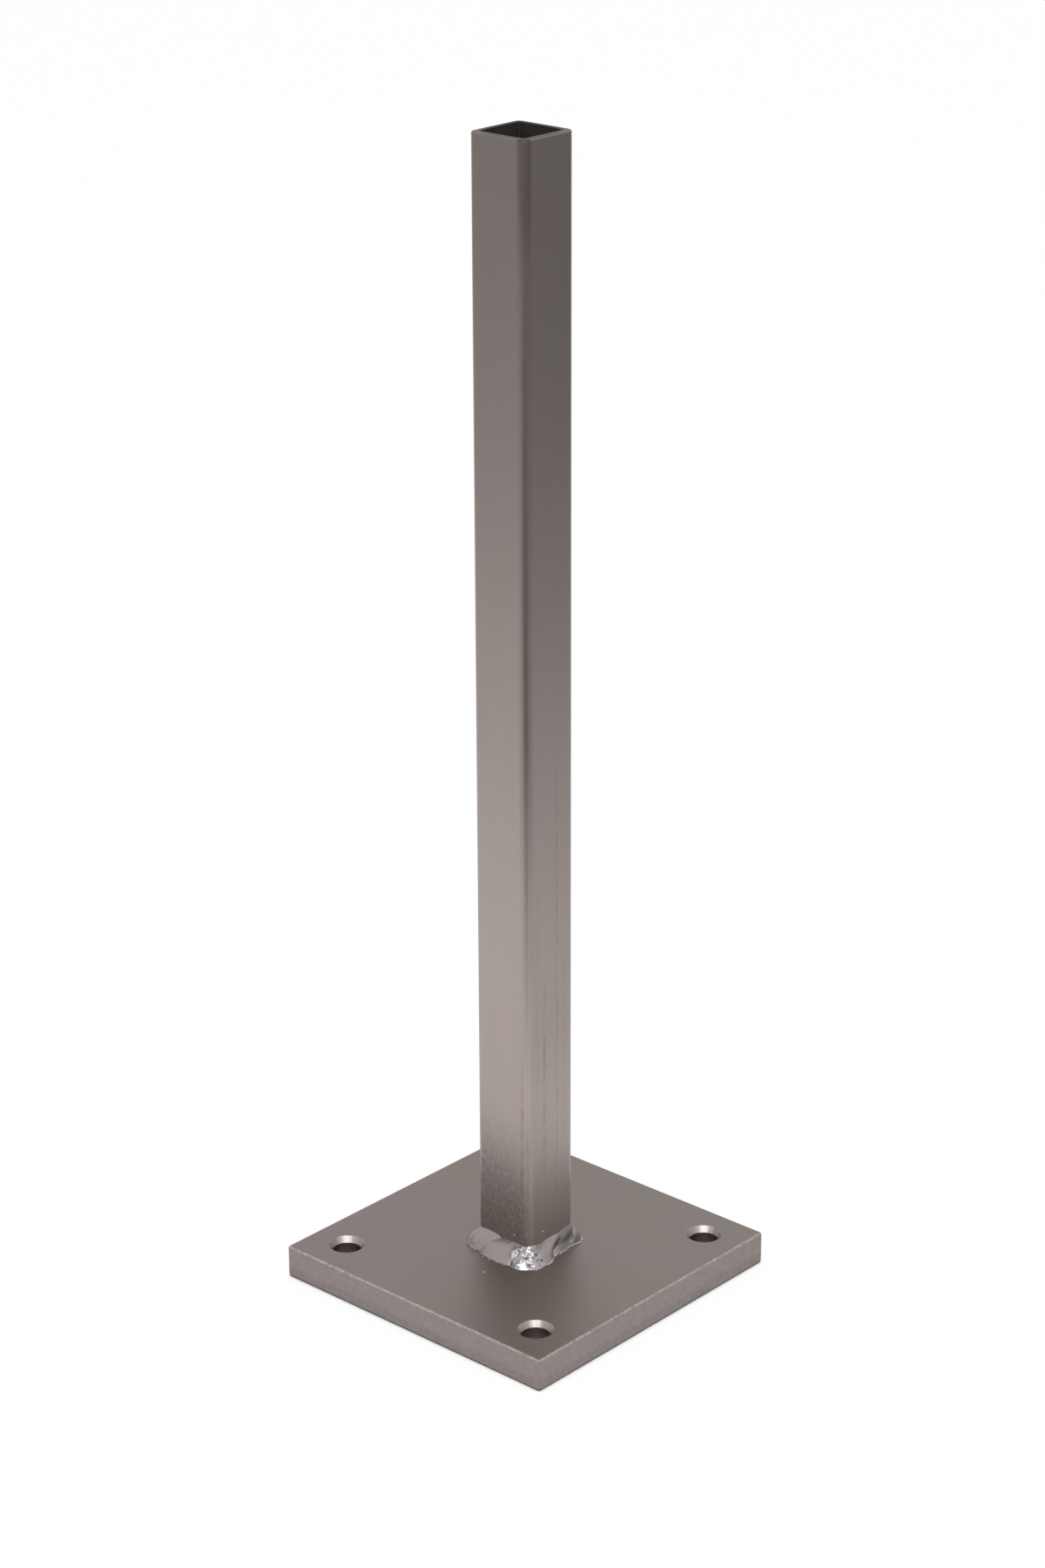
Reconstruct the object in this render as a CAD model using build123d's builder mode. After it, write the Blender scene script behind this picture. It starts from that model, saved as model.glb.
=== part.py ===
from build123d import *
import os

# Post base: a thick square plate with four countersunk bolt holes, a slim
# square tube standing on its middle, and the fillet weld that joins the two.
# Millimetres, +Z up. The origin is the centre of the plate's underside.

# Base plate
plate_width = 100.0
plate_depth = 100.0
plate_thickness = 10.0
plate_corner_radius = 1.0
plate_edge_radius = 0.8

# Bolt holes, one near each corner of the plate
hole_edge_distance = 12.5
hole_diameter = 8.5
countersink_width = 1.05
countersink_angle = 60.0

# Post tube, a cold-formed square hollow section
tube_size = 20.0
tube_wall = 2.0
tube_outer_radius = 2.0
tube_inner_radius = 0.5
tube_length = 330.0
mouth_outer_radius = 0.7
mouth_inner_break = 0.3

# Weld bead: how far it reaches up the tube, how far out over the plate on each
# side, and how far its face bulges there (a hollow face has a negative crown)
bead_height = 4.8
bead_reach_right = 3.8
bead_reach_back = 4.6
bead_reach_left = 4.2
bead_reach_front = 6.2
bead_crown_right = -0.2
bead_crown_back = 0.15
bead_crown_left = 0.15
bead_crown_front = 0.5
bead_pinch_ratio = 0.86
bead_corner_ratio = 1.1
puddles_per_side = 2

# The plate is cut from thick flat bar, its corners and edges rounded in tumbling
with BuildPart() as base_plate:
    with BuildSketch(Plane.XY):
        RectangleRounded(plate_width, plate_depth, plate_corner_radius)
    extrude(amount=plate_thickness)
    rims = base_plate.faces().filter_by(Axis.Z)
    fillet(rims.edges(), radius=plate_edge_radius)
    hole_pitch_x = plate_width - 2 * hole_edge_distance
    hole_pitch_y = plate_depth - 2 * hole_edge_distance
    with Locations(Plane.XY.offset(plate_thickness)):
        with GridLocations(hole_pitch_x, hole_pitch_y, 2, 2):
            CounterSinkHole(
                radius=hole_diameter / 2,
                counter_sink_radius=hole_diameter / 2 + countersink_width,
                counter_sink_angle=countersink_angle,
            )
base_plate.part.label = "base_plate"

# The tube stands square on the plate, open at the top, its cut end rounded in tumbling
with BuildPart() as post_tube:
    with BuildSketch(Plane.XY.offset(plate_thickness)):
        RectangleRounded(tube_size, tube_size, tube_outer_radius)
        bore_size = tube_size - 2 * tube_wall
        RectangleRounded(bore_size, bore_size, tube_inner_radius, mode=Mode.SUBTRACT)
    extrude(amount=tube_length)
    mouth = post_tube.faces().sort_by(Axis.Z)[-1]
    fillet(mouth.outer_wire().edges(), radius=mouth_outer_radius)
    mouth = post_tube.faces().sort_by(Axis.Z)[-1]
    chamfer(mouth.inner_wires()[0].edges(), length=mouth_inner_break)
post_tube.part.label = "post_tube"

# The weld was laid in overlapping puddles, each widest in the middle and
# pinched where the next begins. Every cross-section stands upright on a square
# that runs through the centres of the tube's corner radii, so the same drawing
# serves the straight sides and the turns round the corners.
turn_centre = tube_size / 2 - tube_outer_radius
side_reaches = [bead_reach_right, bead_reach_back, bead_reach_left, bead_reach_front]
side_crowns = [bead_crown_right, bead_crown_back, bead_crown_left, bead_crown_front]


def section_plane(side_angle, along, turn):
    """Upright plane across the weld: local X points away from the tube, local Y up."""
    foot = Vector(turn_centre, along, 0).rotate(Axis.Z, side_angle)
    away = Vector(1, 0, 0).rotate(Axis.Z, side_angle + turn)
    return Plane(
        origin=foot + Vector(0, 0, plate_thickness),
        x_dir=away,
        z_dir=away.cross(Vector(0, 0, 1)),
    )


puddles = []
for side in range(4):
    side_angle = 90 * side
    reach, next_reach = side_reaches[side], side_reaches[(side + 1) % 4]
    crown, next_crown = side_crowns[side], side_crowns[(side + 1) % 4]
    puddle_length = 2 * turn_centre / puddles_per_side
    for count in range(puddles_per_side):
        puddle = []
        for step, swell in ((0, bead_pinch_ratio), (0.5, 1), (1, bead_pinch_ratio)):
            along = (count + step) * puddle_length - turn_centre
            puddle.append((section_plane(side_angle, along, 0), reach * swell, swell, crown))
        puddles.append(puddle)
    # One fuller puddle turns the corner and takes the bead on to the next side
    puddle = []
    for step, swell in ((0, bead_pinch_ratio), (0.5, bead_corner_ratio), (1, bead_pinch_ratio)):
        turn_reach = (reach + (next_reach - reach) * step) * swell
        turn_crown = crown + (next_crown - crown) * step
        plane = section_plane(side_angle, turn_centre, 90 * step)
        puddle.append((plane, turn_reach, swell, turn_crown))
    puddles.append(puddle)

with BuildPart() as weld_bead:
    for puddle in puddles:
        for plane, reach, swell, crown in puddle:
            # The face runs from toe to top as one curve; the rest lies in plate and tube
            height = bead_height * swell
            toe = Vector(tube_outer_radius + reach, 0)
            top = Vector(tube_outer_radius, height)
            outward = Vector(height, reach).normalized()
            root = tube_outer_radius / 2
            with BuildSketch(plane):
                with BuildLine():
                    face = Bezier(toe, (toe + top) / 2 + outward * 2 * crown, top)
                    below = Line(toe, toe - (face % 0) * root)
                    inside = Line(top, top + (face % 1) * root)
                    Polyline(inside @ 1, (root, (inside @ 1).Y), (root, (below @ 1).Y), below @ 1)
                make_face()
        loft()
    # The bead stops at the plate's top face and at the tube's outside
    split(bisect_by=Plane.XY.offset(plate_thickness), keep=Keep.TOP)
    with BuildSketch(Plane.XY.offset(plate_thickness)):
        RectangleRounded(tube_size, tube_size, tube_outer_radius)
    extrude(amount=bead_height * 2, mode=Mode.SUBTRACT)
weld_bead.part.label = "weld_bead"

os.makedirs("parts", exist_ok=True)
export_step(base_plate.part, "parts/base_plate.step")
export_step(post_tube.part, "parts/post_tube.step")
export_step(weld_bead.part, "parts/weld_bead.step")
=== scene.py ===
from collections import namedtuple
from math import cos, exp, pi, radians, sin, tan

import bpy
from mathutils import Matrix, Vector, noise


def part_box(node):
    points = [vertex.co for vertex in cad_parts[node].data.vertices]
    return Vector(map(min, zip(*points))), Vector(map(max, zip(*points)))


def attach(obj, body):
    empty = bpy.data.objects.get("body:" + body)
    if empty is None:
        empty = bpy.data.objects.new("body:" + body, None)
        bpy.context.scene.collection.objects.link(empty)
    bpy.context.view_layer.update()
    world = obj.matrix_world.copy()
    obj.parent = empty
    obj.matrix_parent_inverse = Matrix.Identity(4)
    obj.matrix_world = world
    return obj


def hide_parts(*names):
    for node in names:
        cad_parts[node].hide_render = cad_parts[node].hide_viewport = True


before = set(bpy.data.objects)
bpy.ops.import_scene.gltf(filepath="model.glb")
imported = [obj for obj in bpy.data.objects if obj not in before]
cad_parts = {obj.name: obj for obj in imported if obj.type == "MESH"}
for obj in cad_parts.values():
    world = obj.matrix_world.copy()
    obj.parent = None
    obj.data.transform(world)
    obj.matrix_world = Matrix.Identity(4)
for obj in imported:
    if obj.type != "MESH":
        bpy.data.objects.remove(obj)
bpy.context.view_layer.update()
mm = 0.001

# The base plate is one square of thick flat bar, cut, tumbled and drilled. Its rolled
# faces are smooth enough to mirror the post softly, its cut edges are duller, and the
# four countersinks are fresh cuts with bright turned faces.
plate_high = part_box("base_plate")[1]
plate_half = plate_high.x / mm
plate_top = plate_high.z / mm
plate_rim = 0.8
hole_from_middle = 37.5
bore_radius = 4.25
countersink_radius = 5.3
countersink_angle = radians(60)
countersink_bottom = plate_top - (countersink_radius - bore_radius) / tan(countersink_angle / 2)

# Where one finish, or the painted shade along the bottom edge, starts to give way to the next, and
# where it has. The rim's two are measured from the edge that the plate would have if it were sharp.
# Millimetres.
side_starts = (plate_half - plate_rim, plate_half - 0.25 * plate_rim)
rim_starts = (-0.85 * plate_rim, -0.62 * plate_rim)
hole_ends = (countersink_radius - 0.02, countersink_radius + 0.06)
countersink_starts = (countersink_bottom - 0.05, countersink_bottom + 0.05)
land_starts = (4.0, 6.5)
underside_shade_ends = (0.4, 1.0)

plate_colour = (0.234, 0.198, 0.191)
plate_warm_colour = (0.232, 0.201, 0.181)
cut_colour = (0.322, 0.280, 0.266)
cut_dark_colour = (0.222, 0.193, 0.181)
worn_and_highlight_colour = (0.62, 0.57, 0.55)
underside_shade_colour = (0.05, 0.044, 0.043)
countersink_colour = (0.47, 0.430, 0.417)
bore_colour = (0.34, 0.305, 0.30)


class Value:
    """A number that changes over a surface. It wraps a socket, and sums add Math nodes."""

    def __init__(self, nodes, socket):
        self.nodes = nodes
        self.socket = socket

    def math(self, operation, first, second=0.0):
        numbers = {"Value": first, "Value_001": second}
        return self.nodes.node("ShaderNodeMath", {"operation": operation}, numbers)

    def __add__(self, other):
        return self.math("ADD", self, other)

    def __sub__(self, other):
        return self.math("SUBTRACT", self, other)

    def __rsub__(self, other):
        return self.math("SUBTRACT", other, self)

    def __mul__(self, other):
        return self.math("MULTIPLY", self, other)

    def __pow__(self, other):
        return self.math("POWER", self, other)

    def __abs__(self):
        return self.math("ABSOLUTE", self)

    def largest(self, other):
        return self.math("MAXIMUM", self, other)

    def bearing(self, upward):
        """The angle of the line that goes this far to the right and that far upward."""
        return self.math("ARCTAN2", upward, self)

    __radd__ = __add__
    __rmul__ = __mul__


def distance(*offsets):
    """How far apart two points are that differ by these offsets along the axes."""
    return sum(offset * offset for offset in offsets) ** 0.5


class Nodes:
    """A node tree as it is built up. A socket goes by its identifier, which no two share."""

    def __init__(self, tree):
        self.tree = tree

    def fill(self, socket, value):
        """Links a value to an input socket, or gives the socket a number or a colour."""
        if isinstance(value, Value):
            self.tree.links.new(value.socket, socket)
        elif socket.type == "RGBA":
            socket.default_value = (*value, 1.0)
        else:
            socket.default_value = value

    def node(self, kind, settings=None, sockets=None, output=None):
        """Adds a node: its settings are set first, then the value or link of each socket."""
        made = self.tree.nodes.new(kind)
        for name, setting in (settings or {}).items():
            setattr(made, name, setting)
        inputs = {socket.identifier: socket for socket in made.inputs}
        for identifier, value in (sockets or {}).items():
            self.fill(inputs[identifier], value)
        outputs = {socket.identifier: socket for socket in made.outputs}
        return Value(self, outputs[output] if output else next(iter(made.outputs), None))


class Finish(Nodes):
    """A surface finish, measured in millimetres of the object's own frame."""

    def __init__(self, name, values):
        self.material = bpy.data.materials.new(name)
        self.material.use_nodes = True
        super().__init__(self.material.node_tree)
        self.shader = self.tree.nodes["Principled BSDF"]
        self.feed(values)
        place = self.node("ShaderNodeTexCoord", output="Object")
        in_mm = {"Vector": place, "Scale": 1 / mm}
        self.place = self.node("ShaderNodeVectorMath", {"operation": "SCALE"}, in_mm)
        axes = [self.node("ShaderNodeSeparateXYZ", {}, {"Vector": self.place}, axis) for axis in "XYZ"]
        self.x, self.y, self.z = axes

    def feed(self, values):
        """Gives the shader's sockets, by name, their numbers, colours or links."""
        for name, value in values.items():
            self.fill(self.shader.inputs[name], value)

    def rise(self, value, start, end):
        """0 below start, 1 above end and smooth between them."""
        span = {"Value": value, "From Min": start, "From Max": end}
        return self.node("ShaderNodeMapRange", {"interpolation_type": "SMOOTHSTEP"}, span, "Result")

    def between(self, value, start, full, fading, end):
        """1 from full to fading, 0 before start and after end, and smooth between them."""
        return self.rise(value, start, full) * (1 - self.rise(value, fading, end))

    def band(self, value, middle, width):
        """1 on the middle, fading to 0 at a width from it on each side."""
        return 1 - self.rise(abs(value - middle), 0.0, width)

    def grain(self, per_mm, detail=2.0, roughness=0.5, shift=(0.0, 0.0, 0.0)):
        """Noise round 0.5, with its own number of grains to the millimetre along X, Y and Z."""
        stretch = {"Vector": self.place, "Vector_001": per_mm, "Vector_002": shift}
        stretched = self.node("ShaderNodeVectorMath", {"operation": "MULTIPLY_ADD"}, stretch)
        settled = {"Vector": stretched, "Scale": 1.0, "Detail": detail, "Roughness": roughness}
        return self.node("ShaderNodeTexNoise", {}, settled)

    def mix(self, share, first, second):
        """A colour that goes from the first to the second as share goes from 0 to 1."""
        colours = {"Factor_Float": share, "A_Color": first, "B_Color": second}
        return self.node("ShaderNodeMix", {"data_type": "RGBA"}, colours, "Result_Color")

    def shade(self, colour, amount):
        """The colour multiplied by a number that changes over the surface."""
        scaled = {"Vector": colour, "Scale": amount}
        return self.node("ShaderNodeVectorMath", {"operation": "SCALE"}, scaled)

    def done(self, colour, roughness, height, depth):
        """Links what changes over the surface. The bump's full height is a depth in mm."""
        bump = self.node("ShaderNodeBump", {}, {"Height": height, "Distance": depth * mm})
        self.feed({"Base Color": colour, "Roughness": roughness, "Normal": bump})
        return self.material


def coat(node_name, material):
    """Gives a CAD node its finish and leaves its mesh as it is."""
    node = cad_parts[node_name]
    node.data.materials.clear()
    node.data.materials.append(material)


plate = Finish("plate_steel", {"Metallic": 1.0})
side = abs(plate.x).largest(abs(plate.y))
on_side = plate.rise(side, *side_starts)
from_sharp_edge = side - plate_half + plate.z - plate_top
on_rim = plate.rise(from_sharp_edge, *rim_starts)
across_x = abs(plate.x) - hole_from_middle
across_y = abs(plate.y) - hole_from_middle
in_hole = 1 - plate.rise(distance(across_x, across_y), *hole_ends)
above_bore = plate.rise(plate.z, *countersink_starts)

# Rolled faces: faint warm and cool clouds, and a fine even tooth from tumbling
clouds = plate.grain((0.035, 0.035, 0.035), detail=3.0)
tooth = plate.grain((2.2, 2.2, 2.2), detail=4.0, roughness=0.6)
face_colour = plate.mix(plate.rise(clouds, 0.35, 0.65), plate_colour, plate_warm_colour)
face_colour = plate.shade(face_colour, 0.95 + 0.10 * tooth)

# Cut edges: a burnished upper land with short upright ticks, torn and streaky below it
ticks = plate.grain((1.1, 1.1, 0.16), detail=3.0, roughness=0.65)
streaks = plate.grain((0.12, 0.12, 1.3), detail=3.0, roughness=0.6, shift=(7.0, 3.0, 0.0))
blotches = plate.grain((0.5, 0.5, 0.9), detail=4.0, roughness=0.65)
wander = plate.grain((0.06, 0.06, 0.06))
land = plate.rise(plate.z + 3 * wander, *land_starts)
edge_tone = 0.6 * blotches + 0.25 * ticks + 0.25 * streaks + 0.12 * land
edge_colour = plate.mix(plate.rise(edge_tone, 0.35, 0.85), cut_dark_colour, cut_colour)

# Worn rim: bright where the tumbling stones struck it, so the line breaks up. It lies on the top rim
# only, and is partly wear and partly a painted highlight.
nicks = plate.grain((1.6, 1.6, 1.6), detail=4.0, roughness=0.7, shift=(0.0, 0.0, 5.0))
worn_and_highlight = on_rim * plate.rise(nicks, 0.35, 0.65)

# Countersinks: turned by one tool. Their colour is streaked lighter and darker outwards from the axis,
# a painted glint pattern.
around = {"W": across_x.bearing(across_y), "Scale": 9.0, "Detail": 3.0}
glint_spokes = plate.node("ShaderNodeTexNoise", {"noise_dimensions": "1D"}, around)
# Painted glint streaks on the countersinks' colour
turned_and_glint_colour = plate.shade(countersink_colour, 0.72 + 0.56 * glint_spokes)
hole_colour = plate.mix(above_bore, bore_colour, turned_and_glint_colour)

plate_skin = plate.mix(on_side, face_colour, edge_colour)
# The top rim takes its worn colour, which is also a painted highlight
plate_skin = plate.mix(worn_and_highlight * 0.7, plate_skin, worn_and_highlight_colour)
# The bottom millimetre of the plate is painted dark, a painted shade where it meets the floor
plate_skin = plate.mix(1 - plate.rise(plate.z, *underside_shade_ends), plate_skin, underside_shade_colour)
plate_skin = plate.mix(in_hole, plate_skin, hole_colour)
face_roughness = 0.43 + 0.05 * clouds
edge_roughness = 0.46 + 0.10 * blotches
hole_roughness = 0.33
plate_roughness = face_roughness + on_side * (edge_roughness - face_roughness) - 0.12 * worn_and_highlight
plate_roughness = plate_roughness + in_hole * (hole_roughness - plate_roughness)
plate_height = (1 - in_hole) * (0.25 * tooth + on_side * (ticks + blotches))
coat("base_plate", plate.done(plate_skin, plate_roughness, plate_height, depth=0.05))

# The post is cold-formed square tube with the fine lengthwise grain of its rolls. Rolling left broken
# dark lines down two of its faces, welding stained its foot in front, and its bore is dark. Its front
# corner, faces, rim and sawn end also carry painted shade and painted highlights.
tube_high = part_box("post_tube")[1]
tube_half = tube_high.x / mm
tube_top = tube_high.z / mm
tube_corner = 2.0
tube_wall = 2.0
tube_bore_half = tube_half - tube_wall

tube_colour = (0.448, 0.386, 0.366)
tube_warm_colour = (0.440, 0.386, 0.360)
roll_mark_colour = (0.28, 0.243, 0.232)
bore_dark_colour = (0.085, 0.074, 0.074)
sawn_lit_colour = (0.100, 0.085, 0.082)
sawn_shaded_colour = (0.050, 0.042, 0.045)
sawn_lit_corner_colour = (0.150, 0.132, 0.128)

# Where a tint, a painted shade or a painted highlight starts and where it is full, or fades and ends.
# The first four are heights above the tube's foot, the next three are heights above the floor, and
# then there are three distances from the tube's upright edges if they were sharp. The others are
# distances from its middle plane. Millimetres.
stain_ends = (16, 50)
faces_shade_heights = (12, 25, 70, 100)
ridge_highlight_heights = (36, 52, 135, 165)
corner_shade_starts = (105, 150)
corner_shade_deepens = (tube_top - 42, tube_top - 12)
end_rim_starts = (tube_top - 0.75, tube_top - 0.35)
end_face_starts = (tube_top - 0.30, tube_top - 0.05)
side_corner_starts = (-9.0, -3.0)
front_corner_starts = (-3.4, -1.7)
ridge_starts = (-1.75, -1.3)
sawn_shade_starts = (-6.0, 6.0)
face_starts = (tube_half - 1.0, tube_half - 0.4)
stained_face_starts = (tube_half - 1.8, tube_half - 0.4)
inside_ends = (tube_bore_half + 0.1, tube_bore_half + 0.3)

tube = Finish("tube_steel", {"Metallic": 1.0, "Specular IOR Level": 0.1})
height = tube.z - plate_top
frontward = -1 * tube.y
lines = tube.grain((2.6, 2.6, 0.035), detail=4.0, roughness=0.6)
fine_lines = tube.grain((7.0, 7.0, 0.12), detail=2.0)
patches = tube.grain((0.10, 0.10, 0.03), detail=3.0)
specks = tube.grain((1.1, 1.1, 0.5), detail=3.0, roughness=0.6)

# Each roll mark is a broken upright line: which face, how far across it, how wide, from
# which height to which, and how strong. Millimetres, from the tube's middle and foot.
RollMark = namedtuple("RollMark", "face across width low high strength")
roll_marks = [
    RollMark("right", -2.8, 1.00, 26, 84, 0.62),
    RollMark("right", 2.6, 0.80, 18, 150, 0.42),
    RollMark("right", -5.6, 0.45, 50, 120, 0.35),
    RollMark("right", 5.6, 0.40, 30, 100, 0.40),
    RollMark("front", 7.8, 1.10, 14, 58, 0.60),
    RollMark("front", -3.0, 0.35, 60, 130, 0.20),
]

# How far a mark wavers to each side, and half the height over which its ends fade
mark_wander = 0.4
mark_foot_fade = 6
mark_top_fade = 15
outward_and_sideways = {"right": (tube.x, tube.y), "front": (frontward, tube.x)}
marked = 0.0
for number, mark in enumerate(roll_marks):
    outward, sideways = outward_and_sideways[mark.face]
    on_face = tube.rise(outward, *face_starts)
    waver = tube.grain((0.0, 0.0, 0.08), shift=(number, 0.0, 0.0))
    line = tube.band(sideways + mark_wander * (2 * waver - 1), mark.across, mark.width)
    span = tube.between(height, mark.low - mark_foot_fade, mark.low + mark_foot_fade,
                        mark.high - mark_top_fade, mark.high + mark_top_fade)
    broken = tube.grain((0.9, 0.9, 0.22), detail=4.0, roughness=0.75, shift=(number, 0.0, number))
    marked = marked + mark.strength * on_face * line * span * tube.rise(broken, 0.38, 0.62)

# The stain is mottled, lies on the foot's front face and climbs towards its left side
mottle = tube.grain((0.9, 0.9, 0.6), detail=4.0, roughness=0.7, shift=(0.0, 5.0, 0.0))
stained = tube.rise(frontward, *stained_face_starts) * tube.rise(mottle, 0.20, 0.64)
stained = stained * (1 - tube.rise(height + 0.6 * tube.x, *stain_ends))

# The front corner is painted dark high up, a painted shade that deepens towards the top, and painted
# bright along its ridge lower down, a painted highlight. The faces, but not the corner, are painted a
# little darker in a band above the foot, a painted shade.
from_front_corner = tube.x + frontward - 2 * tube_half
on_corner = tube.rise(from_front_corner, *front_corner_starts)
corner_shade = on_corner * (0.14 + 0.22 * tube.rise(tube.z, *corner_shade_deepens))
corner_shade = corner_shade * tube.rise(height, *corner_shade_starts)
ridge_highlight = tube.rise(from_front_corner, *ridge_starts) * tube.between(height, *ridge_highlight_heights)
faces_shade = tube.between(height, *faces_shade_heights) * (1 - on_corner)

# The sawn end is dark and dull. Its near half and its two side corners are painted paler, a painted
# highlight, and its far half darker, a painted shade. The top rim of the faces just below the end is
# painted darker too, a painted shade.
rim_shade = tube.rise(tube.z, *end_rim_starts)
at_end = tube.rise(tube.z, *end_face_starts)
at_side_corner = tube.rise(abs(tube.x + tube.y) - 2 * tube_half, *side_corner_starts)
sawn_skin = tube.mix(tube.rise(tube.y - tube.x, *sawn_shade_starts), sawn_lit_colour, sawn_shaded_colour)
sawn_skin = tube.mix(at_side_corner, sawn_skin, sawn_lit_corner_colour)

inside = 1 - tube.rise(abs(tube.x).largest(abs(tube.y)), *inside_ends)
# Darker by the stain and by the painted shade on the rim, corner and faces, lighter by the painted
# highlight on the corner's ridge
darker = 0.40 * rim_shade + 0.38 * stained + 0.05 * faces_shade + corner_shade - 0.24 * ridge_highlight
tube_skin = tube.mix(tube.rise(patches, 0.35, 0.65), tube_colour, tube_warm_colour)
tube_skin = tube.shade(tube_skin, 0.84 + 0.14 * lines + 0.10 * fine_lines + 0.08 * specks)
tube_skin = tube.mix(marked, tube_skin, roll_mark_colour)
# The bore is coloured dark
tube_skin = tube.mix(inside, tube_skin, bore_dark_colour)
tube_skin = tube.shade(tube_skin, 1 - darker)
tube_skin = tube.mix(at_end, tube_skin, sawn_skin)
tube.feed({"Metallic": 1 - 0.9 * at_end})
tube_roughness = 0.38 + 0.05 * lines + 0.04 * patches + 0.10 * marked
tube_roughness = tube_roughness + 0.35 * inside + 0.25 * rim_shade + 0.06 * on_corner
coat("post_tube", tube.done(tube_skin, tube_roughness, lines + 0.6 * specks, depth=0.02))

# The weld is one bead laid round the tube's foot in overlapping puddles, each a smooth
# frozen pool. It crumpled where it turned the front corner and sank on the right side.
# Its run goes along each side and then round the corner, and profile_length is the way
# up its face. Millimetres.
turn_centre = tube_half - tube_corner
side_run = 2 * turn_centre
corner_run = 6.6
quarter_run = side_run + corner_run
whole_run = 4 * quarter_run
weld_stations = 960
weld_steps = 44
profile_length = 8.4

# How much a puddle thins towards its ends, how sharp the crease between two of them is,
# and how many millimetres its edges bow along the run
puddle_pinch = 0.08
crease_sharpness = 36.0
crescent_bow = 1.2

# One puddle: how far round the tube its middle lies, from the middle of the front side
# towards the right, half its length, its reach over the plate, its height up the tube,
# how full its face is, and how far its top leans ahead of its toe. Millimetres; where
# the fullness is below 0 the face is hollow.
Puddle = namedtuple("Puddle", "at half reach height fullness lean")
puddles = [
    Puddle(-8.0, 4.4, 4.9, 5.4, 0.10, 3.0),
    Puddle(2.6, 5.4, 6.3, 4.8, 0.12, 3.5),
    Puddle(11.0, 3.4, 6.3, 5.0, 0.02, 1.5),
    Puddle(18.4, 4.4, 5.2, 4.7, 0.08, 8.0),
    Puddle(26.4, 4.4, 3.3, 5.3, -0.30, 8.0),
    Puddle(33.6, 3.2, 3.3, 5.2, 0.10, 3.0),
    Puddle(41.0, 4.2, 4.7, 4.8, 0.06, 1.0),
    Puddle(49.8, 4.6, 4.6, 4.9, 0.05, 1.0),
    Puddle(57.8, 3.6, 4.7, 5.2, 0.10, 0.0),
    Puddle(65.6, 4.4, 4.2, 4.8, 0.05, 1.0),
    Puddle(74.0, 4.2, 4.0, 4.9, 0.04, 1.0),
]

# The crumpled corner froze in separate lumps with notches between them: how far round
# each lies, its place on the slope from toe 0 to top 1, its half length and half width,
# and its height, which is below 0 for a notch. Millimetres.
Lump = namedtuple("Lump", "at slope long wide height")
corner_lumps = [
    Lump(6.4, 0.50, 0.90, 1.80, 0.50),
    Lump(7.9, 0.80, 0.70, 0.70, 0.34),
    Lump(12.9, 0.66, 0.90, 0.90, 0.40),
    Lump(14.6, 0.62, 0.50, 0.90, 0.24),
    Lump(8.9, 0.12, 0.75, 0.90, 0.46),
    Lump(13.0, 0.34, 0.60, 0.55, 0.22),
    Lump(10.7, 0.56, 0.90, 1.10, -0.36),
    Lump(8.0, 0.54, 0.45, 1.40, -0.30),
    Lump(7.6, 0.06, 0.60, 0.70, -0.45),
    Lump(11.4, 0.12, 0.80, 1.00, -0.42),
    Lump(14.4, 0.20, 0.90, 0.50, -0.20),
]
crumple_middle = 11.3
crumple_half = 3.2

# The skin of the puddles: how high each unevenness is in millimetres, and how many of it
# go to one millimetre, or for the freeze ripples how far apart they are
ripple_height = 0.006
ripple_pitch = 0.85
swell_height = 0.06
swells_per_mm = 0.8
pucker_height = 0.025
puckers_per_mm = 2.6
crumple_height = 0.06
crumples_per_mm = 1.1


def station_frame(run):
    """The foot point and the outward direction, seen from above, at a run round the tube."""
    side_number, along = divmod((run + side_run / 2) % whole_run, quarter_run)
    turn = max(0.0, along - side_run) / corner_run * pi / 2
    angle = (side_number - 1) * pi / 2
    away = Vector((cos(angle + turn), sin(angle + turn), 0))
    forward = Vector((-sin(angle), cos(angle), 0))
    middle = Vector((cos(angle), sin(angle), 0)) * turn_centre
    return middle + forward * (min(along, side_run) - side_run / 2), away


def round_from(run, at):
    """How far a run lies ahead of a place on the tube, by the shorter way round."""
    return (run - at + whole_run / 2) % whole_run - whole_run / 2


def weld_reach(run, slope):
    """Distance of the face from the weld's inner corner, at a slope of 0 (plate) to 1 (tube)."""
    turn = slope * pi / 2
    bow = crescent_bow * (sin(2 * turn) - 0.6)
    weight_sum, reach_sum = 0.0, 0.0
    for puddle in puddles:
        share = (round_from(run, puddle.at + puddle.lean * (slope - 0.5)) + bow) / puddle.half
        dome = 1 - puddle_pinch * share * share
        flat = 1 / (cos(turn) / puddle.reach + sin(turn) / puddle.height)
        weight = exp(crease_sharpness * dome)
        weight_sum += weight
        reach_sum += weight * flat * dome * (1 + puddle.fullness * sin(2 * turn))
    return reach_sum / weight_sum


def weld_relief(run, slope, place):
    """Relief in mm on the puddles: freeze ripples, a restless skin and the corner's lumps."""
    relief = ripple_height * sin(2 * pi * (run + crescent_bow * sin(slope * pi)) / ripple_pitch)
    crumpled = exp(-(round_from(run, crumple_middle) / crumple_half) ** 2)
    relief += swell_height * noise.noise(place * swells_per_mm)
    relief += pucker_height * (1 - 0.9 * crumpled) * noise.noise(place * puckers_per_mm)
    relief += crumple_height * crumpled * noise.noise(place * crumples_per_mm)
    for lump in corner_lumps:
        along = round_from(run, lump.at) / lump.long
        across = (slope - lump.slope) * profile_length / lump.wide
        relief += lump.height * exp(-along * along - across * across)
    return relief


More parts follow.
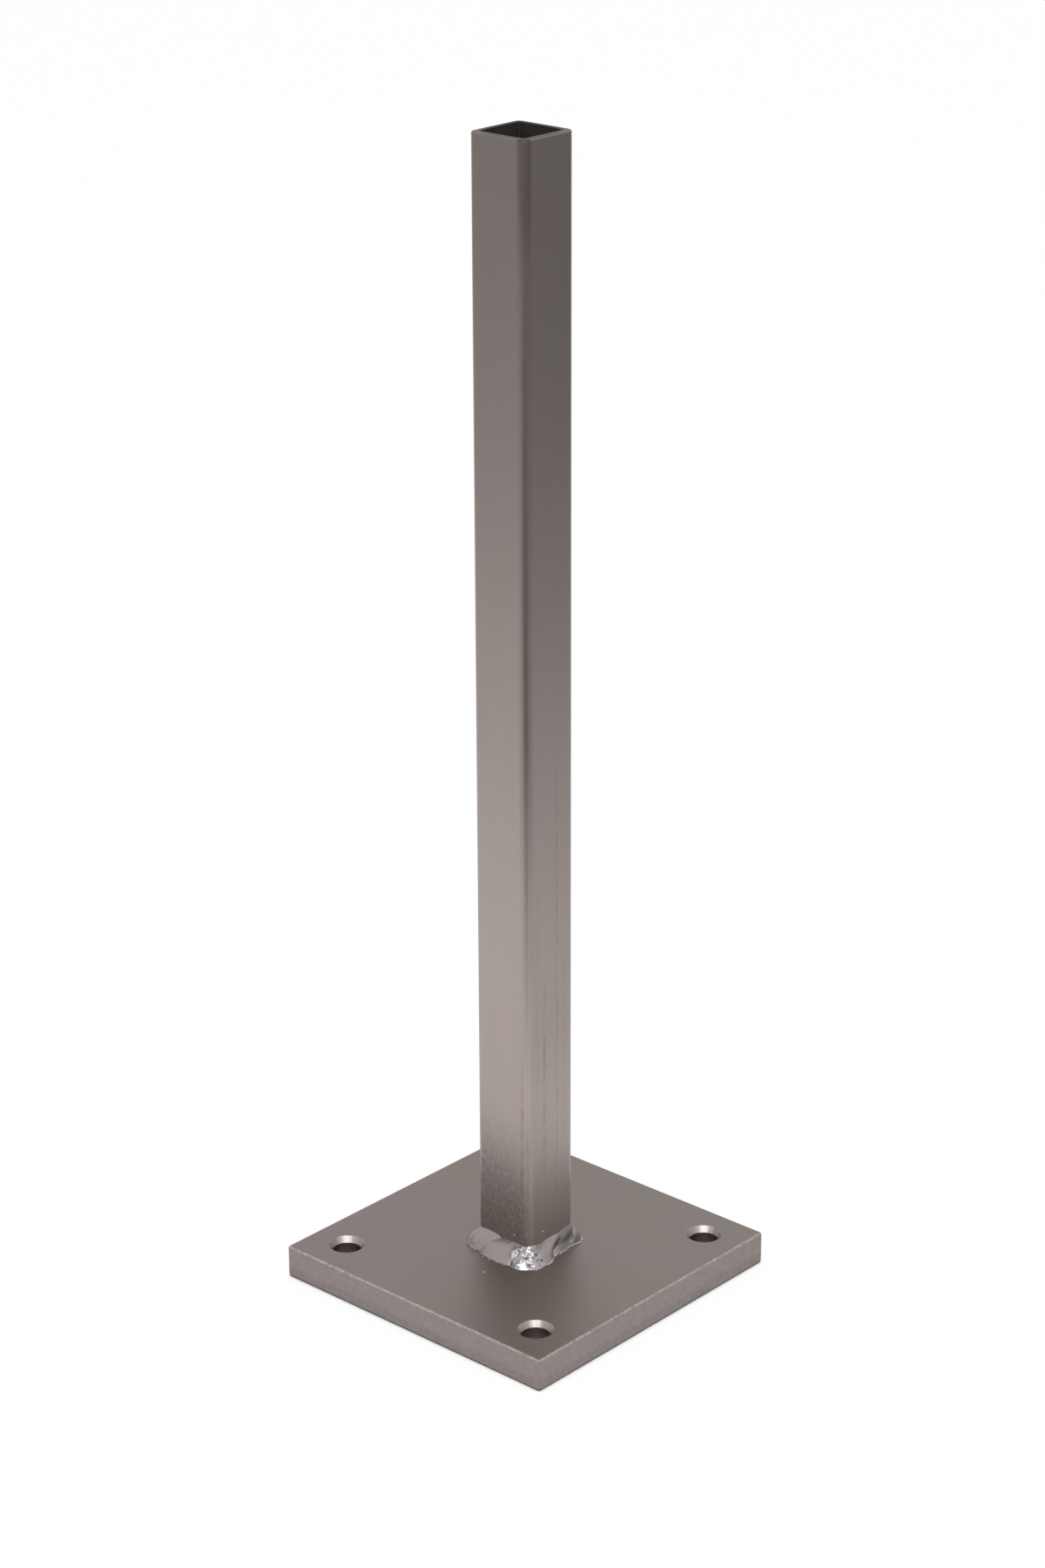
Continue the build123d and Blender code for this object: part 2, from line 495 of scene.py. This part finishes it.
def weld_point(run, slope):
    """The point of the bead's face at a run round the tube and a slope up the face."""
    foot_point, away = station_frame(run)
    root = foot_point + away * tube_corner
    direction = away * cos(slope * pi / 2) + Vector((0, 0, sin(slope * pi / 2)))
    reach = weld_reach(run, slope)
    return root + direction * (reach + weld_relief(run, slope, root + direction * reach))


# Each station has one row of points: up the face from the toe, and then the inner corner
row = weld_steps + 2
weld_points = []
weld_faces = []
for station in range(weld_stations):
    run = whole_run * station / weld_stations
    weld_points += [weld_point(run, step / weld_steps) for step in range(weld_steps + 1)]
    foot_point, away = station_frame(run)
    weld_points.append(foot_point + away * tube_corner)
    here = station * row
    there = (station + 1) % weld_stations * row
    for step in range(row):
        after = (step + 1) % row
        weld_faces.append((here + step, there + step, there + after, here + after))


def mesh_piece(name, points, edges, faces):
    """A new object whose points are in millimetres above the middle of the plate's top."""
    mesh = bpy.data.meshes.new(name)
    mesh.from_pydata([(point + Vector((0, 0, plate_top))) * mm for point in points], edges, faces)
    mesh.polygons.foreach_set("use_smooth", [True] * len(faces))
    mesh.update()
    piece = bpy.data.objects.new(name, mesh)
    bpy.context.scene.collection.objects.link(piece)
    return piece


weld_colour = (0.312, 0.281, 0.272)
weld_dull_colour = (0.302, 0.272, 0.263)
weld_glint_colour = (0.41, 0.386, 0.391)
weld_shade_colour = (0.10, 0.088, 0.085)
notch_dark_colour = (0.07, 0.06, 0.06)

# The crumpled corner is painted in bright and dark patches within a circle on the plate, painted
# glints and painted shade. The sunken stretch on the right side is painted dark, a painted shade,
# below a line that rises towards the back. Millimetres.
glint_middle_x = 12.0
glint_middle_y = -12.5
glint_ends = (3.5, 6.3)
ridge_climb = 0.44
ridge_above = (-0.4, 1.6)
hollow_along = (-1.5, 2.0, 8.0, 10.5)
hollow_outward = (10.2, 11.0)
dark_notch_top_slope = 0.4

bead = Finish("weld_metal", {"Metallic": 1.0})
bloom = bead.grain((0.30, 0.30, 0.30), detail=3.0)
pits = bead.grain((2.4, 2.4, 2.4), detail=4.0, roughness=0.6)
from_glint_middle = distance(bead.x - glint_middle_x, bead.y - glint_middle_y)
at_corner = 1 - bead.rise(from_glint_middle, *glint_ends)
# Bright and dark patches on the crumpled corner: painted glints and painted shade
crumple = bead.grain((0.75, 0.75, 0.75), detail=2.0, shift=(2.0, 0.0, 0.0))
brightness = 0.55 + 0.45 * bead.rise(crumple, 0.36, 0.52)
corner_glints_and_shade = bead.mix(brightness, weld_shade_colour, weld_glint_colour)
under_ridge = 1 - bead.rise(bead.z - plate_top - ridge_climb * bead.y, *ridge_above)
in_shaded_hollow = under_ridge * bead.between(bead.y, *hollow_along) * bead.rise(bead.x, *hollow_outward)
bead_skin = bead.mix(bead.rise(bloom, 0.35, 0.65), weld_dull_colour, weld_colour)
bead_skin = bead.mix(at_corner, bead_skin, corner_glints_and_shade)
# The sunken stretch on the right side is painted dark, a painted shade
bead_skin = bead.mix(0.55 * in_shaded_hollow, bead_skin, weld_shade_colour)

# The notches along the toe are coloured dark
toe_notches = [lump for lump in corner_lumps if lump.height < 0 and lump.slope <= dark_notch_top_slope]
for notch in toe_notches:
    middle = weld_point(notch.at, notch.slope)
    gap = distance(bead.x - middle.x, bead.y - middle.y, bead.z - plate_top - middle.z)
    dark_notch_edge = 1.2 * min(notch.long, notch.wide)
    notch_darkness = 1 - bead.rise(gap + 0.6 * pits - 0.3, 0.3 * dark_notch_edge, dark_notch_edge)
    bead_skin = bead.mix(0.85 * notch_darkness, bead_skin, notch_dark_colour)
bead_skin = bead.shade(bead_skin, 0.94 + 0.12 * pits)
bead_roughness = 0.30 + 0.08 * bloom - 0.11 * at_corner + 0.15 * in_shaded_hollow
weld_metal = bead.done(bead_skin, bead_roughness, pits * (1 - 0.85 * at_corner), depth=0.02)

weld = mesh_piece("weld_metal", weld_points, [], weld_faces)
weld.data.materials.append(weld_metal)
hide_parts("weld_bead")
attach(weld, "root")

# Small beads of weld metal froze along the toe of the bead, thickest on the right side,
# where the pool was pushed outwards. They sit half sunk where the bead meets the plate.
# One run of them: from where to where round the tube, how far from one to the next, the
# smallest and largest radius, the share of them that is there, and the seed. Millimetres.
ToeRun = namedtuple("ToeRun", "name start end spacing smallest largest share seed")
toe_runs = [
    ToeRun("toe_beads_right", 12.0, 34.5, 0.32, 0.14, 0.36, 0.90, 3),
    ToeRun("toe_beads_front", -11.0, 7.0, 0.60, 0.12, 0.28, 0.65, 5),
    ToeRun("toe_beads_hidden", 38.0, 78.0, 1.20, 0.12, 0.26, 0.50, 8),
]

# How far a bead may lie from the line of the toe, and how many stations apart the points
# of that line are
toe_scatter = 0.28
toe_stride = 4
ball_subdivisions = 3
droplet_colour = (0.46, 0.425, 0.413)

droplet = Finish("droplet_metal", {"Metallic": 1.0})
skin_clouds = droplet.grain((1.5, 1.5, 1.5), detail=3.0)
droplet_skin = droplet.shade(droplet_colour, 0.8 + 0.4 * skin_clouds)
droplet_metal = droplet.done(droplet_skin, 0.22 + 0.15 * skin_clouds, skin_clouds, depth=0.02)


def bead_tree():
    """Geometry nodes that strew balls of weld metal along a line of points."""
    tree = bpy.data.node_groups.new("toe_beads", "GeometryNodeTree")
    inputs = {"Line": "Geometry", "Spacing": "Float", "Smallest": "Float", "Largest": "Float",
              "Share": "Float", "Seed": "Int", "Metal": "Material"}
    for name, kind in inputs.items():
        tree.interface.new_socket(name=name, in_out="INPUT", socket_type="NodeSocket" + kind)
    tree.interface.new_socket(name="Beads", in_out="OUTPUT", socket_type="NodeSocketGeometry")
    nodes = Nodes(tree)
    entry = tree.nodes.new("NodeGroupInput")
    given = {socket.name: Value(nodes, socket) for socket in entry.outputs if socket.name}
    line = nodes.node("GeometryNodeMeshToCurve", {}, {"Mesh": given["Line"]})
    spaced = nodes.node("GeometryNodeResampleCurve", {"mode": "LENGTH"},
                        {"Curve": line, "Length": given["Spacing"]})
    farthest = Vector((toe_scatter, toe_scatter, 0)) * mm
    aside = nodes.node("FunctionNodeRandomValue", {"data_type": "FLOAT_VECTOR"},
                       {"Min": -farthest, "Max": farthest, "Seed": given["Seed"]}, "Value")
    moved = nodes.node("GeometryNodeSetPosition", {}, {"Geometry": spaced, "Offset": aside})
    kept = nodes.node("FunctionNodeRandomValue", {"data_type": "BOOLEAN"},
                      {"Probability": given["Share"], "Seed": given["Seed"]}, "Value_003")
    size = nodes.node("FunctionNodeRandomValue", {"data_type": "FLOAT"},
                      {"Min_001": given["Smallest"], "Max_001": given["Largest"],
                       "Seed": given["Seed"]}, "Value_001")
    ball = nodes.node("GeometryNodeMeshIcoSphere", {},
                      {"Radius": 1.0, "Subdivisions": ball_subdivisions})
    smooth = nodes.node("GeometryNodeSetShadeSmooth", {}, {"Geometry": ball})
    strewn = nodes.node("GeometryNodeInstanceOnPoints", {},
                        {"Points": moved, "Selection": kept, "Instance": smooth, "Scale": size})
    real = nodes.node("GeometryNodeRealizeInstances", {}, {"Geometry": strewn})
    coated = nodes.node("GeometryNodeSetMaterial", {}, {"Geometry": real, "Material": given["Metal"]})
    way_out = tree.nodes.new("NodeGroupOutput")
    nodes.fill(way_out.inputs["Beads"], coated)
    return tree


def settle(piece, tree, values):
    """Runs a geometry-node tree on a piece and keeps the result as its plain mesh."""
    modifier = piece.modifiers.new(tree.name, "NODES")
    modifier.node_group = tree
    identifiers = {item.name: item.identifier for item in tree.interface.items_tree
                   if item.in_out == "INPUT"}
    for name, value in values.items():
        modifier[identifiers[name]] = value
    graph = bpy.context.evaluated_depsgraph_get()
    result = bpy.data.meshes.new_from_object(piece.evaluated_get(graph))
    result.materials.clear()
    result.materials.append(values["Metal"])
    result.polygons.foreach_set("material_index", [0] * len(result.polygons))
    piece.modifiers.clear()
    piece.data = result


toe_tree = bead_tree()
for toe_run in toe_runs:
    first = int(toe_run.start / whole_run * weld_stations)
    last = int(toe_run.end / whole_run * weld_stations)
    toe = [weld_points[station % weld_stations * row] for station in range(first, last, toe_stride)]
    links = [(point, point + 1) for point in range(len(toe) - 1)]
    toe_beads = mesh_piece(toe_run.name, toe, links, [])
    settle(toe_beads, toe_tree, {
        "Spacing": toe_run.spacing * mm, "Smallest": toe_run.smallest * mm,
        "Largest": toe_run.largest * mm, "Share": toe_run.share, "Seed": toe_run.seed,
        "Metal": droplet_metal})
    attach(toe_beads, "root")

# Three droplets of spatter flew off and froze where they landed, flattened by the steel:
# the place of each in millimetres from the middle of the plate's top, the direction that
# its steel faces, and its radius.
Droplet = namedtuple("Droplet", "place away radius")
droplets = [
    Droplet(Vector((4.5, -tube_half, 6.9)), Vector((0, -1, 0)), 0.30),
    Droplet(Vector((tube_half, -3.3, 7.3)), Vector((1, 0, 0)), 0.36),
    Droplet(Vector((4.4, -22.9, 0.0)), Vector((0, 0, 1)), 0.38),
]
rings = 10
sectors = 20
flatness = 0.65
dent_depth = 0.15
dents_per_radius = 1.3
spatter_points = []
spatter_faces = []
for drop in droplets:
    turned = drop.away.to_track_quat("Z", "Y")
    pole = turned @ Vector((0, 0, drop.radius * flatness))
    first = len(spatter_points)
    spatter_points.append(drop.place + pole)
    for ring in range(1, rings):
        lean = pi * ring / rings
        for sector in range(sectors):
            swing = 2 * pi * sector / sectors
            ball = Vector((sin(lean) * cos(swing), sin(lean) * sin(swing), cos(lean) * flatness))
            dent = noise.noise(ball * dents_per_radius + drop.place)
            ball *= drop.radius * (1 + dent_depth * dent)
            spatter_points.append(drop.place + turned @ ball)
    spatter_points.append(drop.place - pole)
    last = len(spatter_points) - 1
    for sector in range(sectors):
        beside = (sector + 1) % sectors
        spatter_faces.append((first, first + 1 + sector, first + 1 + beside))
        for ring in range(rings - 2):
            upper = first + 1 + ring * sectors
            lower = upper + sectors
            spatter_faces.append((upper + sector, lower + sector, lower + beside, upper + beside))
        spatter_faces.append((last, last - sectors + beside, last - sectors + sector))
spatter = mesh_piece("spatter", spatter_points, [], spatter_faces)
spatter.data.materials.append(droplet_metal)
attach(spatter, "root")

# The studio is a wide white floor under an even white sky, with two soft lamps above the camera's
# side. Grey glowing cards stand round the post out of sight; only its gloss sees them, as darker
# reflections, and they cast no shade.
white = (1.0, 1.0, 1.0)
black = (0.0, 0.0, 0.0)
floor_half = 8.0
floor_colour = (0.94, 0.94, 0.94)
floor_lift = 0.88
lift_starts = (plate_half - 0.8, plate_half + 1.5)
sky_strength = 1.0
camera_azimuth = radians(42.079)
camera_elevation = radians(21.405)


def seen_directly(finish):
    """1 for rays from the camera and for rays that a mirror or a glass sends on."""
    looks = [finish.node("ShaderNodeLightPath", output=name) for name in
             ("Is Camera Ray", "Is Glossy Ray", "Is Transmission Ray")]
    return looks[0].largest(looks[1]).largest(looks[2])


def stage_sheet(name, corners, panels, material):
    """A sheet of the studio, in metres."""
    mesh = bpy.data.meshes.new(name)
    mesh.from_pydata(corners, [], panels)
    mesh.materials.append(material)
    sheet = bpy.data.objects.new(name, mesh)
    bpy.context.scene.collection.objects.link(sheet)
    return sheet


# The floor is paper. The camera and the gloss see most of it as a white glow, so that
# its shadows stay faint, but not the part under the plate.
ground = Finish("floor_paper", {
    "Metallic": 0.0, "Base Color": floor_colour, "Roughness": 1.0, "Specular IOR Level": 0.0})
clear = ground.rise(abs(ground.x).largest(abs(ground.y)), *lift_starts)
glow = ground.node("ShaderNodeEmission", {}, {"Color": white, "Strength": 1.0})
paper = ground.node("ShaderNodeMixShader", {}, {
    "Fac": floor_lift * clear * seen_directly(ground),
    "Shader": Value(ground, ground.shader.outputs[0]), "Shader_001": glow})
ground.fill(ground.tree.nodes["Material Output"].inputs["Surface"], paper)
floor_corners = [(x * floor_half, y * floor_half, 0) for x, y in ((-1, -1), (1, -1), (1, 1), (-1, 1))]
stage_sheet("floor", floor_corners, [(0, 1, 2, 3)], ground.material)

world = bpy.data.worlds.new("sky")
world.use_nodes = True
sky = Nodes(world.node_tree)
background = world.node_tree.nodes["Background"]
sky.fill(background.inputs["Color"], white)
sky.fill(background.inputs["Strength"], sky_strength)
bpy.context.scene.world = world

# Each card is a curved sheet that rises from the floor like a sweep and ends in a wall far
# out. It is pale at its foot, darkens over its fade, and has the wall's tone past the bend.
# Its bearings are from the camera's own, in degrees, and its lengths are in metres.
card_bend = Vector((0.90, 0, 0.354))
card_wall_foot = Vector((7.50, 0, 0.360))
card_steps = 8
wall_tone_starts = (1.0, 1.2)
Card = namedtuple("Card", "name start end foot fade foot_tone far_tone wall_tone wall_top")
cards = [
    Card("card_left", -126, -42, 0.26, 0.28, 0.95, 0.34, 0.20, 2.45),
    Card("card_front", -42, 42, 0.09, 0.15, 1.00, 0.03, 0.02, 2.90),
    Card("card_right", 42, 126, 0.14, 0.33, 0.80, 0.17, 0.15, 2.45),
]
for card in cards:
    tone = Finish(card.name, {
        "Metallic": 0.0, "Base Color": black, "Specular IOR Level": 0.0, "Emission Strength": 1.0})
    from_post = distance(tone.x, tone.y) * mm
    fade = tone.rise(from_post, card.foot, card.foot + card.fade)
    grey = tone.mix(fade, (card.foot_tone,) * 3, (card.far_tone,) * 3)
    grey = tone.mix(tone.rise(from_post, *wall_tone_starts), grey, (card.wall_tone,) * 3)
    tone.feed({"Emission Color": grey})

    wall_top = Vector((card_wall_foot.x, 0, card.wall_top))
    side_view = [Vector((card.foot, 0, 0)), card_bend, card_wall_foot, wall_top]
    corners = []
    for step in range(card_steps + 1):
        bearing = radians(card.start + (card.end - card.start) * step / card_steps)
        turn = Matrix.Rotation(camera_azimuth - pi / 2 + bearing, 3, "Z")
        corners += [turn @ point for point in side_view]
    panels = []
    for step in range(card_steps):
        for low in range(len(side_view) - 1):
            here = step * len(side_view) + low
            there = here + len(side_view)
            panels.append((here, here + 1, there + 1, there))
    sheet = stage_sheet(card.name, corners, panels, tone.material)
    sheet.visible_camera = False
    sheet.visible_diffuse = False
    sheet.visible_shadow = False

# One soft lamp stands high in front and a strip lamp hangs nearly overhead, both facing
# the post: how many degrees high each stands seen from it, its width and height in metres,
# and its brightness.
Lamp = namedtuple("Lamp", "name elevation width height brightness")
lamp_distance = 1.3
lamps = [
    Lamp("softbox", 34, 1.25, 0.36, 2.4),
    Lamp("strip_lamp", 72, 0.62, 0.30, 4.2),
]
for planned in lamps:
    light = bpy.data.lights.new(planned.name, "AREA")
    light.shape = "RECTANGLE"
    light.size = planned.width
    light.size_y = planned.height
    light.energy = planned.brightness * pi * planned.width * planned.height
    lamp = bpy.data.objects.new(planned.name, light)
    rise = radians(planned.elevation)
    toward = Vector((sin(camera_azimuth) * cos(rise), -cos(camera_azimuth) * cos(rise), sin(rise)))
    lamp.location = toward * lamp_distance
    lamp.rotation_euler = toward.to_track_quat("Z", "Y").to_euler()
    lamp.visible_camera = False
    bpy.context.scene.collection.objects.link(lamp)

# The camera stands where the photograph was taken from. Its place follows from where the
# middle of the plate's underside shows in the photograph, and how far off that point is.
# The sensor's width is laid along the longer side of a picture, which is here its height.
image_width = 1200
image_height = 1800
focal_pixels = 4126.5
plate_middle_across = 603.872
plate_middle_down = 1456.386
plate_middle_distance = 1.070386
camera_roll = radians(-0.233)
sensor_height = 36.0
farthest_seen = 50

back = Vector((sin(camera_azimuth) * cos(camera_elevation),
               -cos(camera_azimuth) * cos(camera_elevation), sin(camera_elevation)))
level_right = Vector((cos(camera_azimuth), sin(camera_azimuth), 0))
level_up = back.cross(level_right)
right = level_right * cos(camera_roll) + level_up * sin(camera_roll)
up = level_up * cos(camera_roll) - level_right * sin(camera_roll)
pixel = plate_middle_distance / focal_pixels
middle_right = (plate_middle_across - image_width / 2) * pixel
middle_up = (image_height / 2 - plate_middle_down) * pixel
lens = bpy.data.cameras.new("camera")
lens.sensor_width = sensor_height
lens.lens = focal_pixels / image_height * sensor_height
lens.clip_end = farthest_seen
camera = bpy.data.objects.new("camera", lens)
camera.matrix_world = Matrix((
    (right.x, up.x, back.x, 0), (right.y, up.y, back.y, 0), (right.z, up.z, back.z, 0), (0, 0, 0, 1)))
camera.location = back * plate_middle_distance - right * middle_right - up * middle_up
bpy.context.scene.collection.objects.link(camera)
bpy.context.scene.camera = camera
bpy.context.scene.view_settings.view_transform = "Standard"
